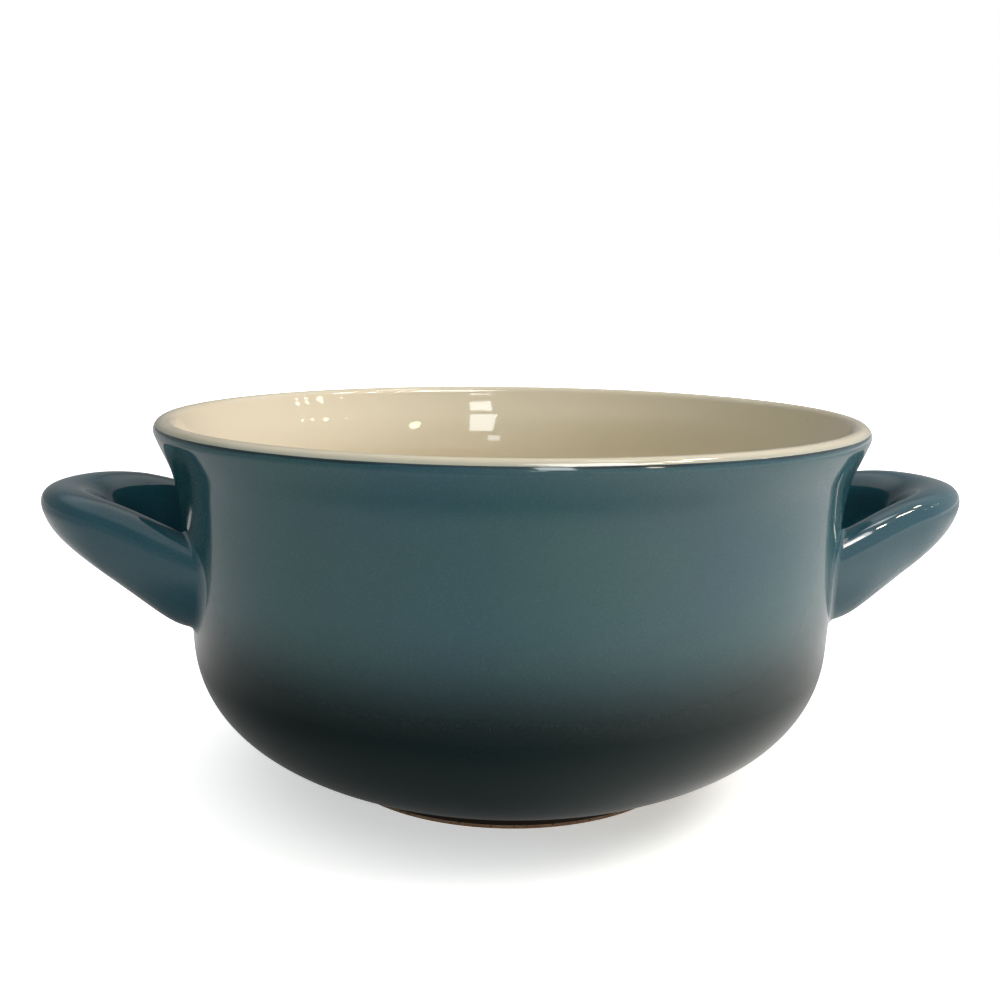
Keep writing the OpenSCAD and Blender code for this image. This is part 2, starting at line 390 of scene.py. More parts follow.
STRAP_SIZES = [
    ("Root X", None), ("Tip X", None), ("Root Top", ROOT_TOP_H), ("Tip Rise", TIP_RISE),
    ("Root Bottom", ROOT_BOTTOM_H), ("Lower Slope", None), ("Heel X", None),
    ("Heel Softness", HEEL_SOFT), ("Root Thickness", ROOT_T), ("Tip Thickness", TIP_T),
    ("Squareness", SQUARENESS), ("Lean", LEAN_SLOPE),
]


def strap_point_tree():
    """Place of a point of the strap's surface, at a run along its arm."""
    tree, inlet, leave = new_tree(
        "strap_point", "GeometryNodeTree",
        [("Run", FLOAT, 0.0)] + [(name, FLOAT, size) for name, size in STRAP_SIZES],
        [("Position", VECTOR)])
    start, way, side, around = (
        named(tree, name, "FLOAT_VECTOR") for name in ("start", "way", "side", "around"))
    growth = named(tree, "growth", "FLOAT")
    middle = vector_sum(tree, start, vector_times(tree, way, inlet["Run"]))
    x, y, _ = parts_of(tree, middle)
    cosine, sine, _ = parts_of(tree, around)

    def rounded(share):
        return share.called("SIGN") * share.called("ABSOLUTE") ** (2 / inlet["Squareness"])

    climb = ((x - inlet["Root X"]) / (inlet["Tip X"] - inlet["Root X"])).clamped(-1, 1)
    top = inlet["Root Top"] + inlet["Tip Rise"] * (climb * (pi / 2)).called("SINE")
    rise = inlet["Lower Slope"] * (x - inlet["Heel X"])
    bend = (rise * rise + inlet["Heel Softness"] * inlet["Heel Softness"]).called("SQRT")
    bottom = inlet["Root Bottom"] + (rise + bend) * 0.5
    thinning = inlet["Tip Thickness"] - inlet["Root Thickness"]
    thickness = inlet["Root Thickness"] + climb * thinning
    up = ((top - bottom) * 0.5 + growth) * rounded(sine)
    out = (thickness * 0.5 + growth) * rounded(cosine) + inlet["Lean"] * up
    flat = vector_sum(tree, middle, vector_times(tree, side, out))
    placed = vector_sum(tree, flat, vector_of(tree, 0.0, 0.0, (top + bottom) * 0.5 + up))
    feed(tree, leave.inputs[0], placed)
    return tree


def strap_tree():
    """Sweeps a rounded section along a handle's path, and runs its arms on to the wall."""
    sizes = [(name, FLOAT, size) for name, size in STRAP_SIZES]
    tree, inlet, leave = new_tree("strap_loop", "GeometryNodeTree", [
        ("Path", SHAPE, None),
        ("Wall", THING, None),
        ("Sides", WHOLE, SECTION_SIDES),
        ("Root Fillet", FLOAT, ROOT_FILLET),
        ("Turn", FLOAT, 0.0),
        ("Crease Angle", FLOAT, STRAP_CREASE),
        ("Material", FINISH, None),
    ] + sizes, [("Geometry", SHAPE)])
    section = tree.nodes.new("GeometryNodeCurvePrimitiveCircle")
    feed(tree, section.inputs["Resolution"], inlet["Sides"])
    section.inputs["Radius"].default_value = 1.0
    place = joined(tree, "GeometryNodeInputPosition", 0)
    marked = stored(tree, Wire(tree, section.outputs["Curve"]), "around", "FLOAT_VECTOR", place)
    path = joined(tree, "GeometryNodeMeshToCurve", 0, inlet["Path"])
    swept = tree.nodes.new("GeometryNodeCurveToMesh")
    feed(tree, swept.inputs["Curve"], path)
    feed(tree, swept.inputs["Profile Curve"], marked)
    wall = tree.nodes.new("GeometryNodeObjectInfo")
    wall.transform_space = "ORIGINAL"
    feed(tree, wall.inputs["Object"], inlet["Wall"])
    scaled_wall = tree.nodes.new("GeometryNodeTransform")
    tree.links.new(wall.outputs["Geometry"], scaled_wall.inputs["Geometry"])
    scaled_wall.inputs["Scale"].default_value = (1 / MM, 1 / MM, 1 / MM)

    def surface(run):
        node = tree.nodes.new("GeometryNodeGroup")
        node.node_tree = strap_point
        feed(tree, node.inputs["Run"], run)
        for name, _ in STRAP_SIZES:
            feed(tree, node.inputs[name], inlet[name])
        return Wire(tree, node.outputs[0])

    # Each line of the surface is carried along its arm until it meets the wall
    shape = stored(tree, Wire(tree, swept.outputs[0]), "run", "FLOAT", 0.0)
    way = named(tree, "way", "FLOAT_VECTOR")
    for _ in range(SEEK_ROUNDS):
        run = named(tree, "run", "FLOAT")
        source = vector_sum(tree, surface(run), vector_times(tree, way, -SEEK_LEAD))
        ray = tree.nodes.new("GeometryNodeRaycast")
        tree.links.new(scaled_wall.outputs[0], ray.inputs["Target Geometry"])
        feed(tree, ray.inputs["Source Position"], source)
        feed(tree, ray.inputs["Ray Direction"], way)
        hit = Wire(tree, ray.outputs["Is Hit"])
        distance = Wire(tree, ray.outputs["Hit Distance"])
        shape = stored(tree, shape, "run", "FLOAT", run + hit * (distance - SEEK_LEAD))
    meeting = named(tree, "run", "FLOAT") - named(tree, "setback", "FLOAT")
    run = meeting * named(tree, "share", "FLOAT")
    placed = joined(tree, "GeometryNodeSetPosition", 0, shape, True, surface(run))
    turned = tree.nodes.new("GeometryNodeTransform")
    feed(tree, turned.inputs["Geometry"], placed)
    feed(tree, turned.inputs["Rotation"], vector_of(tree, 0.0, 0.0, inlet["Turn"]))
    turned.inputs["Scale"].default_value = (MM, MM, MM)
    shaded = soft_shaded(tree, Wire(tree, turned.outputs[0]), inlet["Crease Angle"])
    finished(tree, leave, shaded, inlet["Material"])
    return tree


# Pieces

def new_object(name, points, edges):
    mesh = bpy.data.meshes.new(name)
    mesh.from_pydata(points, edges, [])
    piece = bpy.data.objects.new(name, mesh)
    bpy.context.scene.collection.objects.link(piece)
    return piece


def made_plain(piece, tree, values):
    """Run a node tree on an object and keep the result as its plain mesh."""
    modifier = piece.modifiers.new(tree.name, "NODES")
    modifier.node_group = tree
    for item in tree.interface.items_tree:
        if item.in_out == "INPUT" and item.name in values:
            modifier[item.identifier] = values[item.name]
    bpy.context.view_layer.update()
    depsgraph = bpy.context.evaluated_depsgraph_get()
    mesh = bpy.data.meshes.new_from_object(piece.evaluated_get(depsgraph), depsgraph=depsgraph)
    piece.modifiers.remove(modifier)
    outline = piece.data
    piece.data = mesh
    bpy.data.meshes.remove(outline)
    mesh.name = piece.name
    return piece


def turned_piece(name, outline, material):
    """A round piece from its closed outline, gone round so that its faces point outwards."""
    points = [((p.x - BELLY_R) * MM, -p.y * MM, 0.0) for p in reversed(outline)]
    edges = [(i, (i + 1) % len(points)) for i in range(len(points))]
    return made_plain(new_object(name, points, edges), turned_form, {"Material": material})


def strap_path():
    """Rows of the coat round a handle: out round the glaze's face, and back at the clay."""
    # How far the leaning, rounded section reaches out from its middle at the tip
    power = SQUARENESS / (SQUARENESS - 1)
    tip_reach = ((TIP_T / 2) ** power + (LEAN_SLOPE * TIP_H / 2) ** power) ** (1 / power)
    tip_x = RIM_R + HANDLE_REACH - tip_reach
    bend_centre = Vector((tip_x - BEND_R, 0))
    half_turn = pi / 2 - ARM_TOE
    arm_start = bend_centre + polar(BEND_R, half_turn)
    arm_way = Vector((-cos(ARM_TOE), sin(ARM_TOE)))
    arm_side = Vector((sin(ARM_TOE), cos(ARM_TOE)))
    wall_r = radius_at(glaze_face, (ROOT_TOP_H + ROOT_BOTTOM_H) / 2)
    near = arm_start.dot(arm_way)
    arm_length = -near - (near * near - arm_start.dot(arm_start) + wall_r ** 2) ** 0.5
    root_x = (arm_start + arm_length * arm_way).x
    heel_x = root_x + HEEL_L
    tip_bottom = ROOT_TOP_H + TIP_RISE - TIP_H
    sizes = dict(STRAP_SIZES)
    sizes.update({
        "Root X": root_x, "Tip X": tip_x, "Heel X": heel_x,
        "Lower Slope": (tip_bottom - ROOT_BOTTOM_H) / (tip_x - heel_x),
    })

    def arm(growth, sunk):
        """Rows of one arm, from the wall out to the bend.

        A row is its start, way and side, how much the section grows there, how far it
        stays back from the wall, and its share of the run to the wall.
        """
        rows = []
        for i in range(FILLET_STEPS + 1):
            turn = pi / 2 * (1 - i / FILLET_STEPS) ** FILLET_CROWDING
            grown = growth + ROOT_FILLET * (1 - cos(turn))
            rows.append((grown, ROOT_FILLET * (1 - sin(turn)) + sunk, 1.0))
        for i in range(1, ARM_STEPS):
            rows.append((growth, ROOT_FILLET + sunk, 1 - i / ARM_STEPS))
        return [(arm_start, arm_way, arm_side) + row for row in rows]

    def loop(growth, sunk):
        """Rows of the arm behind, the bend, and the arm in front."""
        behind = arm(growth, sunk)
        bend = []
        for i in range(BEND_STEPS + 1):
            turn = half_turn * (1 - 2 * i / BEND_STEPS)
            start, way, side = bend_centre + polar(BEND_R, turn), Vector((0, 0)), polar(1, turn)
            bend.append((start, way, side, growth, 0.0, 0.0))
        flip = Vector((1, -1))
        front = [(start * flip, way * flip, side * flip, *rest)
                 for start, way, side, *rest in behind[::-1]]
        return behind + bend + front

    rows = loop(0.0, 0.0) + loop(-GLAZE_T, -GLAZE_T)[::-1]
    return rows, sizes


def strap_piece(name, turn, wall, material):
    """The glaze coat of one handle, as a closed shell."""
    rows, sizes = strap_path()
    flat_points = [(row[0].x, row[0].y, 0.0) for row in rows]
    piece = new_object(name, flat_points, [(i, (i + 1) % len(rows)) for i in range(len(rows))])
    for column, label in enumerate(("start", "way", "side")):
        attribute = piece.data.attributes.new(label, "FLOAT_VECTOR", "POINT")
        for i, row in enumerate(rows):
            attribute.data[i].vector = (row[column].x, row[column].y, 0.0)
    for column, label in enumerate(("growth", "setback", "share")):
        attribute = piece.data.attributes.new(label, "FLOAT", "POINT")
        for i, row in enumerate(rows):
            attribute.data[i].value = row[3 + column]
    values = {"Wall": wall, "Turn": turn, "Material": material}
    values.update(sizes)
    made_plain(piece, strap_loop, values)
    for label in ("start", "way", "side", "around", "growth", "setback", "share", "run"):
        attribute = piece.data.attributes.get(label)
        if attribute:
            piece.data.attributes.remove(attribute)
    return piece


# Finishes

def scaled_noise(tree, place, size):
    """A noise texture with patches of a size in millimetres, and its node."""
    noise = tree.nodes.new("ShaderNodeTexNoise")
    feed(tree, noise.inputs["Vector"], place)
    feed(tree, noise.inputs["Scale"], (1 / MM) / size)
    return Wire(tree, noise.outputs[0]), noise


def clouding_group():
    """Soft patches, from 0 to 1."""
    tree, inlet, leave = new_tree("clouding", "ShaderNodeTree", [
        ("Place", VECTOR, None), ("Patch Size", FLOAT, 20.0), ("Fineness", FLOAT, 2.0),
        ("Contrast", FLOAT, 2.0),
    ], [("Cloud", FLOAT)])
    noise, node = scaled_noise(tree, inlet["Place"], inlet["Patch Size"])
    feed(tree, node.inputs["Detail"], inlet["Fineness"])
    cloud = (noise - 0.5) * inlet["Contrast"] + 0.5
    feed(tree, leave.inputs[0], cloud.clamped())
    return tree


def speckle_group():
    """Fine grains in the glaze: 1 on a grain, 0 off it."""
    tree, inlet, leave = new_tree("speckle", "ShaderNodeTree", [
        ("Place", VECTOR, None), ("Grain Size", FLOAT, 0.4), ("Cut", FLOAT, 0.6),
        ("Softness", FLOAT, 0.1),
    ], [("Grain", FLOAT)])
    noise, node = scaled_noise(tree, inlet["Place"], inlet["Grain Size"])
    node.inputs["Detail"].default_value = SPECKLE_DETAIL
    grain = (noise - inlet["Cut"]) / inlet["Softness"]
    feed(tree, leave.inputs[0], grain.clamped())
    return tree


def height_fade_group():
    """Goes from 0 at one height to 1 at another, with a wavering edge."""
    tree, inlet, leave = new_tree("height_fade", "ShaderNodeTree", [
        ("Place", VECTOR, None), ("Start", FLOAT, 0.0), ("End", FLOAT, 1.0),
        ("Waver", FLOAT, 0.0), ("Waver Size", FLOAT, 20.0),
    ], [("Fade", FLOAT)])
    noise, _ = scaled_noise(tree, inlet["Place"], inlet["Waver Size"])
    height = parts_of(tree, inlet["Place"])[2] / MM
    wavering = height + (noise - 0.5) * 2.0 * inlet["Waver"]
    fade = eased((wavering - inlet["Start"]) / (inlet["End"] - inlet["Start"]))
    feed(tree, leave.inputs[0], fade)
    return tree


def grouped(tree, group, **values):
    """Place a shader group. Its sockets are named by the words of each keyword."""
    node = tree.nodes.new("ShaderNodeGroup")
    node.node_tree = group
    for key, value in values.items():
        feed(tree, node.inputs[key.replace("_", " ").title()], value)
    return Wire(tree, node.outputs[0])


def mixed(tree, share, a, b):
    """Colour between a and b."""
    node = tree.nodes.new("ShaderNodeMix")
    node.data_type = "RGBA"
    feed(tree, node.inputs[0], share)
    for socket, colour in ((node.inputs[6], a), (node.inputs[7], b)):
        feed(tree, socket, colour if isinstance(colour, Wire) else (*colour, 1.0))
    return Wire(tree, node.outputs[2])


def new_material(name, **settings):
    """A material with its shader's plain settings made, and the shader and Object coordinates."""
    material = bpy.data.materials.new(name)
    material.use_nodes = True
    tree = material.node_tree
    shader = tree.nodes["Principled BSDF"]
    for key, value in settings.items():
        shader.inputs[key.replace("_", " ")].default_value = value
    place = Wire(tree, tree.nodes.new("ShaderNodeTexCoord").outputs["Object"])
    return material, tree, shader, place


def bumped(tree, shader, height, distance):
    """Relief that follows a height, as deep in millimetres as the distance where it is 1."""
    node = tree.nodes.new("ShaderNodeBump")
    node.inputs["Strength"].default_value = 1.0
    node.inputs["Distance"].default_value = distance * MM
    feed(tree, node.inputs["Height"], height)
    tree.links.new(node.outputs[0], shader.inputs["Normal"])


SPECKLE_DETAIL = 1.0
GLAZE_IOR = 1.5
GLAZE_RELIEF, LINER_RELIEF, CLAY_RELIEF = 0.004, 0.005, 0.03

TEAL_BLUE = (0.019, 0.084, 0.116)
TEAL_GREEN = (0.031, 0.103, 0.107)
TEAL_DEEP = (0.013, 0.084, 0.118)
TEAL_GRAIN = (0.075, 0.165, 0.180)
TEAL_PIT = (0.010, 0.050, 0.072)
NIGHT = (0.0030, 0.0135, 0.0135)
NIGHT_GRAIN = (0.020, 0.034, 0.034)
EDGE_LINE = (0.001, 0.014, 0.022)
FOOT_BROWN = (0.022, 0.012, 0.007)
CREAM = (0.74, 0.663, 0.508)
CREAM_WARM = (0.76, 0.660, 0.485)
LIP_CREAM = (0.46, 0.46, 0.375)
PINHOLE = (0.60, 0.500, 0.350)
CLAY = (0.30, 0.155, 0.080)
CLAY_PALE = (0.46, 0.290, 0.170)
CLAY_GRIT = (0.10, 0.055, 0.035)


def glossed(tree, shader, place, least, spread, depth=GLAZE_RELIEF, patch_size=12.0):
    """The gloss of a fired glaze, with hazy patches, and its slight unevenness."""
    haze = grouped(
        tree, clouding, place=place, patch_size=patch_size, fineness=2.0, contrast=1.5)
    feed(tree, shader.inputs["Roughness"], haze * spread + least)
    peel = grouped(tree, clouding, place=place, patch_size=5.0, fineness=1.0, contrast=1.0)
    grain = grouped(tree, speckle, place=place, grain_size=0.7, cut=0.3, softness=0.4)
    bumped(tree, shader, peel + grain * 0.03, depth)


def teal_colour(tree, place, blue, green):
    """Teal with soft patches of two colours and a fine two-way speckle."""
    patches = grouped(tree, clouding, place=place, patch_size=34.0, fineness=2.0, contrast=2.2)
    colour = mixed(tree, patches, blue, green)
    pale = grouped(tree, speckle, place=place, grain_size=0.28, cut=0.52, softness=0.25)
    colour = mixed(tree, pale * 0.28, colour, TEAL_GRAIN)
    dark = grouped(tree, speckle, place=place, grain_size=0.34, cut=0.52, softness=0.25)
    return mixed(tree, dark * 0.30, colour, TEAL_PIT)


def wall_glaze():
    """Teal that darkens down the wall, a dark line under the lip, and a brown foot."""
    material, tree, shader, place = new_material("teal_to_night_glaze", IOR=GLAZE_IOR)
    teal = teal_colour(tree, place, TEAL_BLUE, TEAL_GREEN)
    grain = grouped(tree, speckle, place=place, grain_size=0.28, cut=0.56, softness=0.2)
    night = mixed(tree, grain * 0.3, NIGHT, NIGHT_GRAIN)
    depth = grouped(
        tree, height_fade, place=place, start=47.0, end=27.5, waver=2.0, waver_size=45.0)
    colour = mixed(tree, depth, teal, night)
    # A dark line under the lip, stronger in patches
    line = grouped(
        tree, height_fade, place=place, start=71.45, end=71.75, waver=0.25, waver_size=9.0)
    line_patches = grouped(tree, clouding, place=place, patch_size=22.0, fineness=2.0, contrast=3.0)
    colour = mixed(tree, line * (line_patches * 0.5 + 0.5), colour, EDGE_LINE)
    foot = grouped(tree, height_fade, place=place, start=3.6, end=2.9, waver=0.2, waver_size=6.0)
    colour = mixed(tree, foot, colour, FOOT_BROWN)
    feed(tree, shader.inputs["Base Color"], colour)
    glossed(tree, shader, place, least=0.05, spread=0.05)
    return material


def handle_glaze():
    material, tree, shader, place = new_material("teal_glaze", IOR=GLAZE_IOR)
    feed(tree, shader.inputs["Base Color"], teal_colour(tree, place, TEAL_DEEP, TEAL_BLUE))
    glossed(tree, shader, place, least=0.035, spread=0.03)
    return material


def night_glaze():
    """Near black, for the hollow inside the foot ring."""
    material, tree, shader, place = new_material("night_glaze", IOR=GLAZE_IOR)
    grain = grouped(tree, speckle, place=place, grain_size=0.42, cut=0.56, softness=0.2)
    feed(tree, shader.inputs["Base Color"], mixed(tree, grain * 0.4, NIGHT, NIGHT_GRAIN))
    glossed(tree, shader, place, least=0.08, spread=0.06)
    return material


def cream_glaze():
    """Cream with warmer patches and pinholes, thinner and greyer below the lip outside."""
    material, tree, shader, place = new_material("cream_glaze", IOR=GLAZE_IOR)
    patches = grouped(tree, clouding, place=place, patch_size=40.0, fineness=2.0, contrast=1.6)
    colour = mixed(tree, patches, CREAM, CREAM_WARM)
    x, y, _ = parts_of(tree, place)
    outside = eased((x * x + y * y).called("SQRT") / MM - lip_centre.x)
    thin = grouped(
        tree, height_fade, place=place, start=72.9, end=LIP_LINE_H, waver=0.12, waver_size=8.0)
    colour = mixed(tree, thin * outside * 0.8, colour, LIP_CREAM)
    pinholes = grouped(tree, speckle, place=place, grain_size=1.6, cut=0.80, softness=0.02)
    colour = mixed(tree, pinholes * 0.5, colour, PINHOLE)
    feed(tree, shader.inputs["Base Color"], colour)
    glossed(tree, shader, place, least=0.03, spread=0.02, depth=LINER_RELIEF, patch_size=15.0)
    return material


def bare_clay():
    """Unglazed stoneware with paler patches and dark grit."""
    material, tree, shader, place = new_material("bare_clay")
    patches = grouped(tree, clouding, place=place, patch_size=6.0, fineness=4.0, contrast=2.0)
    colour = mixed(tree, patches, CLAY, CLAY_PALE)
    grit = grouped(tree, speckle, place=place, grain_size=0.6, cut=0.62, softness=0.05)
    feed(tree, shader.inputs["Base Color"], mixed(tree, grit * 0.8, colour, CLAY_GRIT))
    feed(tree, shader.inputs["Roughness"], patches * 0.15 + 0.72)
    grain = grouped(tree, speckle, place=place, grain_size=0.35, cut=0.4, softness=0.3)
    bumped(tree, shader, grain + grit, CLAY_RELIEF)
    return material


# Making

strap_point = strap_point_tree()
turned_form = turned_form_tree()
strap_loop = strap_tree()
clouding = clouding_group()
speckle = speckle_group()
height_fade = height_fade_group()

teal = handle_glaze()
night = night_glaze()
cream = cream_glaze()
clay = bare_clay()

body = turned_piece("stoneware_body", clay_outline(), clay)
liner = turned_piece("cream_liner", liner_outline(), cream)
coat = turned_piece("outside_glaze", coat_outline(FOOT_BARE_H, LIP_LINE_H), wall_glaze())
right_coat = strap_piece("right_handle_coat", 0.0, coat, teal)
left_coat = strap_piece("left_handle_coat", pi, coat, teal)

for piece, nodes, slot in (
        (body, ["clay_body"], "clay"),
        (liner, ["liner_glaze"], "cream_glaze"),
        (coat, ["teal_glaze", "base_glaze"], "teal_glaze"),
        (right_coat, ["right_handle_glaze"], "teal_glaze"),
        (left_coat, ["left_handle_glaze"], "teal_glaze")):
    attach(piece, "root")
    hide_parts(*nodes)

for node, material in (("left_handle", clay), ("right_handle", clay), ("well_glaze", night)):
    carried = bpy.data.objects[node]
    carried.data.materials.clear()
    carried.data.materials.append(material)


# Stage, lights and camera

BOWL_MIDDLE = Vector((0, 0, 0.06))
BRIGHT_SIDE, FRONT = radians(-33), radians(-90)

FLOOR_HALF = 10.0
FLOOR_PALE, FLOOR_DIM = (0.86, 0.86, 0.85), (0.45, 0.46, 0.46)
BLACK, WHITE, WARM_WHITE = (0, 0, 0), (1, 1, 1), (1, 0.97, 0.90)

# The cards of painted shade that only reflections see: just above the floor, a low band round the
# foot, and a dome round the set
CARD_H, CARD_EDGE = 0.0004, 0.00001
COLLAR_R, COLLAR_H, COLLAR_SIDES = 0.095, 0.030, 64
SET_R, SET_SIDES, SET_RISES = 2.5, 48, 12


def seen_directly(tree):
    """1 for rays that come from the camera, a reflection or through glass."""
    path = tree.nodes.new("ShaderNodeLightPath")
    rays = [Wire(tree, path.outputs[name]) for name in
            ("Is Camera Ray", "Is Glossy Ray", "Is Transmission Ray")]
    return (rays[0] + rays[1] + rays[2]).clamped()


def round_about(tree, output="Object", side=BRIGHT_SIDE):
    """A place's distance from the pot's axis, how far it faces a side, and its height."""
    place = Wire(tree, tree.nodes.new("ShaderNodeTexCoord").outputs[output])
    x, y, height = parts_of(tree, place)
    away = (x * x + y * y).called("SQRT")
    return away, (x * cos(side) + y * sin(side)) / away, height


def brightest(facing):
    """1 on the side faced, falling off quickly to each side of it."""
    lit = ((facing - 0.3) / 0.7).clamped()
    return lit * lit


def dullest(facing):
    """0 towards the side faced, rising to 1 a little past a right angle from it."""
    return 1.0 - (facing + 0.2).clamped()


def stage_piece(name, points, faces, colour):
    """A matt piece of the set, with its material's tree and shader."""
    mesh = bpy.data.meshes.new(name)
    mesh.from_pydata(points, [], faces)
    piece = bpy.data.objects.new(name, mesh)
    bpy.context.scene.collection.objects.link(piece)
    material = bpy.data.materials.new(name)
    material.use_nodes = True
    shader = material.node_tree.nodes["Principled BSDF"]
    shader.inputs["Base Color"].default_value = (*colour, 1)
    shader.inputs["Roughness"].default_value = 1.0
    shader.inputs["Specular IOR Level"].default_value = 0.0
    mesh.materials.append(material)
    return piece, material.node_tree, shader


def from_to(distance, start, end):
    """Eased from 0 at one distance to 1 at another."""
    return eased((distance - start) / (end - start))


def studio_floor():
    """White to the camera and to reflections, with the pot's shadow.

    It throws less light back at the pot on the dull side. Its glow keeps the shadow pale.
    """
    corners = [(x, y, 0.0) for x, y in (
        (-FLOOR_HALF, -FLOOR_HALF), (FLOOR_HALF, -FLOOR_HALF),
        (FLOOR_HALF, FLOOR_HALF), (-FLOOR_HALF, FLOOR_HALF))]
    _, tree, shader = stage_piece("studio_floor", corners, [(0, 1, 2, 3)], FLOOR_PALE)
    away, facing, _ = round_about(tree)
    bright = brightest(facing)
    seen = seen_directly(tree)
    dim = dullest(facing) * (1.0 - from_to(away, 0.15, 0.45))
    thrown = mixed(tree, dim, FLOOR_PALE, FLOOR_DIM)
    feed(tree, shader.inputs["Base Color"], mixed(tree, seen, thrown, FLOOR_PALE))
    beyond_foot = from_to(away, 0.036, 0.081) * (0.42 - bright * 0.20)
    glow = 0.50 + beyond_foot + from_to(away, 0.3, 1.0) * 0.3
    feed(tree, shader.inputs["Emission Color"], mixed(tree, bright, WHITE, WARM_WHITE))
    feed(tree, shader.inputs["Emission Strength"], seen * glow)


def reflected_shade_card(name, points, faces):
    """A black card of painted shade that only reflections see, with its tree and the socket for
    its cover.
    """
    card, tree, shader = stage_piece(name, points, faces, BLACK)
    card.visible_camera = card.visible_diffuse = card.visible_shadow = False
    card.visible_transmission = card.visible_volume_scatter = False
    return tree, shader.inputs["Alpha"]


def collar_shade(tree, facing):
    """How dark the collar's painted shade is: most in front, none behind, and less on the bright
    side.
    """
    in_front = round_about(tree, side=FRONT)[1]
    return from_to(in_front, -0.25, 0.65) * (0.56 - brightest(facing) * 0.26)


def wall_shade(facing):
    """How dark the painted shade round the set is, as reflections see it. There is none on the
    bright side.
    """
    return dullest(facing) * 0.70


def ring(radius, height, sides):
    """Points of a level circle round the pot's axis."""
    ways = [2 * pi * j / sides for j in range(sides)]
    return [(radius * cos(way), radius * sin(way), height) for way in ways]


def banded(rings):
    """Points and faces of the bands from each ring to the next."""
    sides = len(rings[0])
    faces = []
    for i in range(len(rings) - 1):
        low, high = i * sides, (i + 1) * sides
        for j in range(sides):
            k = (j + 1) % sides
            faces.append((low + j, high + j, high + k, low + k))
    return [place for circle in rings for place in circle], faces


def floor_card():
    """Painted shade on the floor, left and in front, which only reflections see: on the dull
    side, near the foot and under the pot.
    """
    tree, cover = reflected_shade_card(
        "floor_card", ring(SET_R, CARD_H, SET_SIDES), [tuple(range(SET_SIDES))])
    away, facing, _ = round_about(tree)
    dull = 1.0 - brightest(facing)
    far = from_to(away, 0.4, 1.6)
    # Painted shade on the dull side, a little darker further out
    dull_side_shade = dull * (0.52 + from_to(away, 0.22, 0.34) * 0.18)
    wide = dull_side_shade * (1.0 - far) + wall_shade(facing) * far
    near = (1.0 - from_to(away, 0.085, 0.145)) * (0.40 + dull * 0.20)
    # Inside the collar the painted shade on the floor goes on as dark as the collar's foot
    inside = 1.0 - ((away - COLLAR_R) / CARD_EDGE).clamped()
    under = inside * collar_shade(tree, facing) * (0.35 + from_to(away, 0.06, 0.09) * 0.65)
    feed(tree, cover, 1.0 - (1.0 - wide) * (1.0 - near) * (1.0 - under))


def collar_card():
    """A low band of painted shade round the pot, which only reflections see, darkening its
    rounded base.
    """
    rings = [ring(COLLAR_R, height, COLLAR_SIDES) for height in (CARD_H, COLLAR_H)]
    tree, cover = reflected_shade_card("collar_card", *banded(rings))
    _, facing, height = round_about(tree)
    feed(tree, cover, (1.0 - from_to(height, 0.012, 0.028)) * collar_shade(tree, facing))


def wall_card():
    """Painted shade round the set, below the ceiling, which only reflections see."""
    rises = [pi / 2 * i / (SET_RISES + 1) for i in range(SET_RISES + 1)]
    rings = [ring(SET_R * cos(rise), SET_R * sin(rise), SET_SIDES) for rise in rises]
    tree, cover = reflected_shade_card("wall_card", *banded(rings))
    _, facing, height = round_about(tree)
    feed(tree, cover, (1.0 - from_to(height / SET_R, 0.45, 0.75)) * wall_shade(facing))


AMBIENT_DULL, AMBIENT_BRIGHT, AMBIENT_TOP = 0.02, 0.03, 0.57


def studio_world():
    """White to the camera and to reflections; to the rest a soft light, most from above."""
    world = bpy.data.worlds.new("studio")
    bpy.context.scene.world = world
    world.use_nodes = True
    tree = world.node_tree
    sky = tree.nodes["Background"]
    seen = seen_directly(tree)
    _, facing, up = round_about(tree, "Generated")
    low = AMBIENT_DULL + (AMBIENT_BRIGHT - AMBIENT_DULL) * from_to(facing, -0.6, 1.0)
    soft = low + (AMBIENT_TOP - low) * from_to(up, 0.4, 0.9)
    feed(tree, sky.inputs["Color"], mixed(tree, seen, WARM_WHITE, WHITE))
    feed(tree, sky.inputs["Strength"], seen + (1.0 - seen) * soft)


# Each lamp's azimuth, elevation and distance from the bowl's middle, width, height,
# brightness and colour
SOFT_LAMPS = {
    "key": (-15, 45, 1.3, 0.60, 0.50, 7.0, (1.0, 0.98, 0.95)),
    "side": (20, 30, 1.3, 0.60, 0.50, 8.5, (1.0, 0.97, 0.98)),
    "low_front": (-70, 8, 1.3, 0.60, 0.20, 8.4, (1.0, 0.97, 0.98)),
    "left_front": (-125, 25, 1.3, 0.60, 0.50, 2.4, (0.75, 1.0, 1.0)),
}
PANES = {
    "window": (-82, 29.7, 1.15, 0.20, 0.45, 10.0, (0.95, 1.0, 0.98)),
    "window_top": (-80, 46.4, 1.15, 0.15, 0.09, 11.0, (0.95, 1.0, 0.98)),
    "window_foot": (-87.7, 12.7, 1.15, 0.10, 0.08, 7.0, (0.95, 1.0, 0.98)),
    "rim_light": (-58, 61.5, 1.17, 0.45, 0.50, 12.0, (1.0, 1.0, 0.98)),
    "overhead": (38, 70, 1.2, 0.30, 0.12, 6.0, (1.0, 1.0, 0.98)),
}
DOWNLIGHT_AWAY, DOWNLIGHT_COLOUR = 1.2, (1.0, 0.86, 0.66)
DOWNLIGHTS = [
    # Azimuth, elevation, width, height and brightness: the dots inside the bowl
    (-51.7, 25.4, 0.10, 0.20, 13.0), (-16.5, 32.9, 0.03, 0.03, 10.0),
    (-6.4, 31.1, 0.05, 0.06, 11.0), (0.4, 30.2, 0.03, 0.03, 15.0), (5.0, 29.2, 0.03, 0.03, 15.0),
    # and the glints along the right handle
    (10.0, 57.0, 0.06, 0.16, 80.0), (-14.0, 57.0, 0.05, 0.16, 90.0),
    (-31.0, 57.0, 0.04, 0.16, 90.0), (-43.0, 59.0, 0.03, 0.14, 80.0),
]


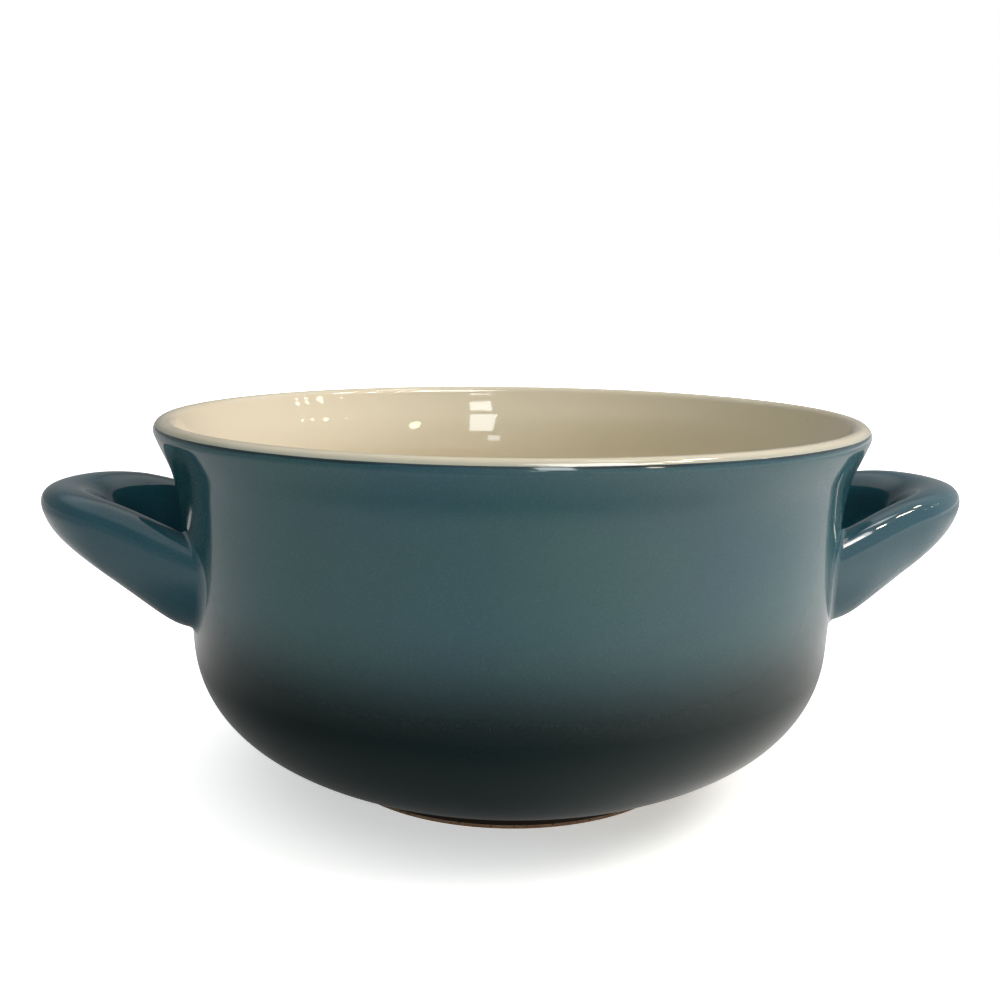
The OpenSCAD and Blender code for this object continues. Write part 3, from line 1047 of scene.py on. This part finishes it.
def hang_lamp(name, azimuth, elevation, distance, width, height, brightness, colour,
              shape="RECTANGLE"):
    """An area lamp that faces the bowl, with the brightness of its own surface."""
    light = bpy.data.lights.new(name, "AREA")
    light.shape = shape
    light.size, light.size_y = width, height
    light.energy = brightness * pi * width * height
    light.color = colour
    lamp = bpy.data.objects.new(name, light)
    bpy.context.scene.collection.objects.link(lamp)
    flat = cos(radians(elevation))
    way = Vector((
        flat * cos(radians(azimuth)), flat * sin(radians(azimuth)), sin(radians(elevation))))
    turn = way.to_track_quat("Z", "Y").to_matrix().to_4x4()
    lamp.matrix_world = Matrix.Translation(BOWL_MIDDLE + distance * way) @ turn
    return lamp


def hang_lamps():
    """Soft lamps that light the pot, and small ones that only show in its glaze."""
    for name, lamp in SOFT_LAMPS.items():
        hang_lamp(name, *lamp).visible_glossy = False
    for name, lamp in PANES.items():
        hang_lamp(name, *lamp).visible_diffuse = False
    for i, (azimuth, elevation, width, height, brightness) in enumerate(DOWNLIGHTS):
        hang_lamp(f"downlight_{i}", azimuth, elevation, DOWNLIGHT_AWAY, width, height,
                  brightness, DOWNLIGHT_COLOUR, "ELLIPSE").visible_diffuse = False


# The camera where the photograph was taken from, from a fit to the pot's outline: how far
# round the pot it is, its distance and height, the way it looks, and its focal length as a
# share of the picture's width
CAMERA_TURN, CAMERA_AWAY, CAMERA_H = 0.0925, 0.245, 0.0971
CAMERA_HEADING, CAMERA_PITCH, CAMERA_ROLL = 0.0835, 0.170, -0.011
FOCAL_SHARE, SENSOR_W = 1.2134, 36.0


def photograph_camera():
    heading, pitch, roll = CAMERA_HEADING, CAMERA_PITCH, CAMERA_ROLL
    forward = Vector((sin(heading) * cos(pitch), cos(heading) * cos(pitch), -sin(pitch)))
    right = forward.cross(Vector((0, 0, 1))).normalized()
    down = forward.cross(right).normalized()
    across = right * cos(roll) + down * sin(roll)
    upward = right * sin(roll) - down * cos(roll)
    lens = bpy.data.cameras.new("photograph")
    lens.sensor_width = SENSOR_W
    lens.lens = FOCAL_SHARE * SENSOR_W
    lens.clip_start = 0.01
    camera = bpy.data.objects.new("photograph", lens)
    bpy.context.scene.collection.objects.link(camera)
    rotation = Matrix((across, upward, -forward)).transposed().to_4x4()
    stand = (-CAMERA_AWAY * sin(CAMERA_TURN), -CAMERA_AWAY * cos(CAMERA_TURN), CAMERA_H)
    camera.matrix_world = Matrix.Translation(stand) @ rotation
    bpy.context.scene.camera = camera


studio_floor()
# Painted shade that only reflections see: on the floor, round the foot and round the set
floor_card()
collar_card()
wall_card()
studio_world()
hang_lamps()
photograph_camera()
bpy.context.scene.view_settings.view_transform = "Standard"

bpy.context.view_layer.update()
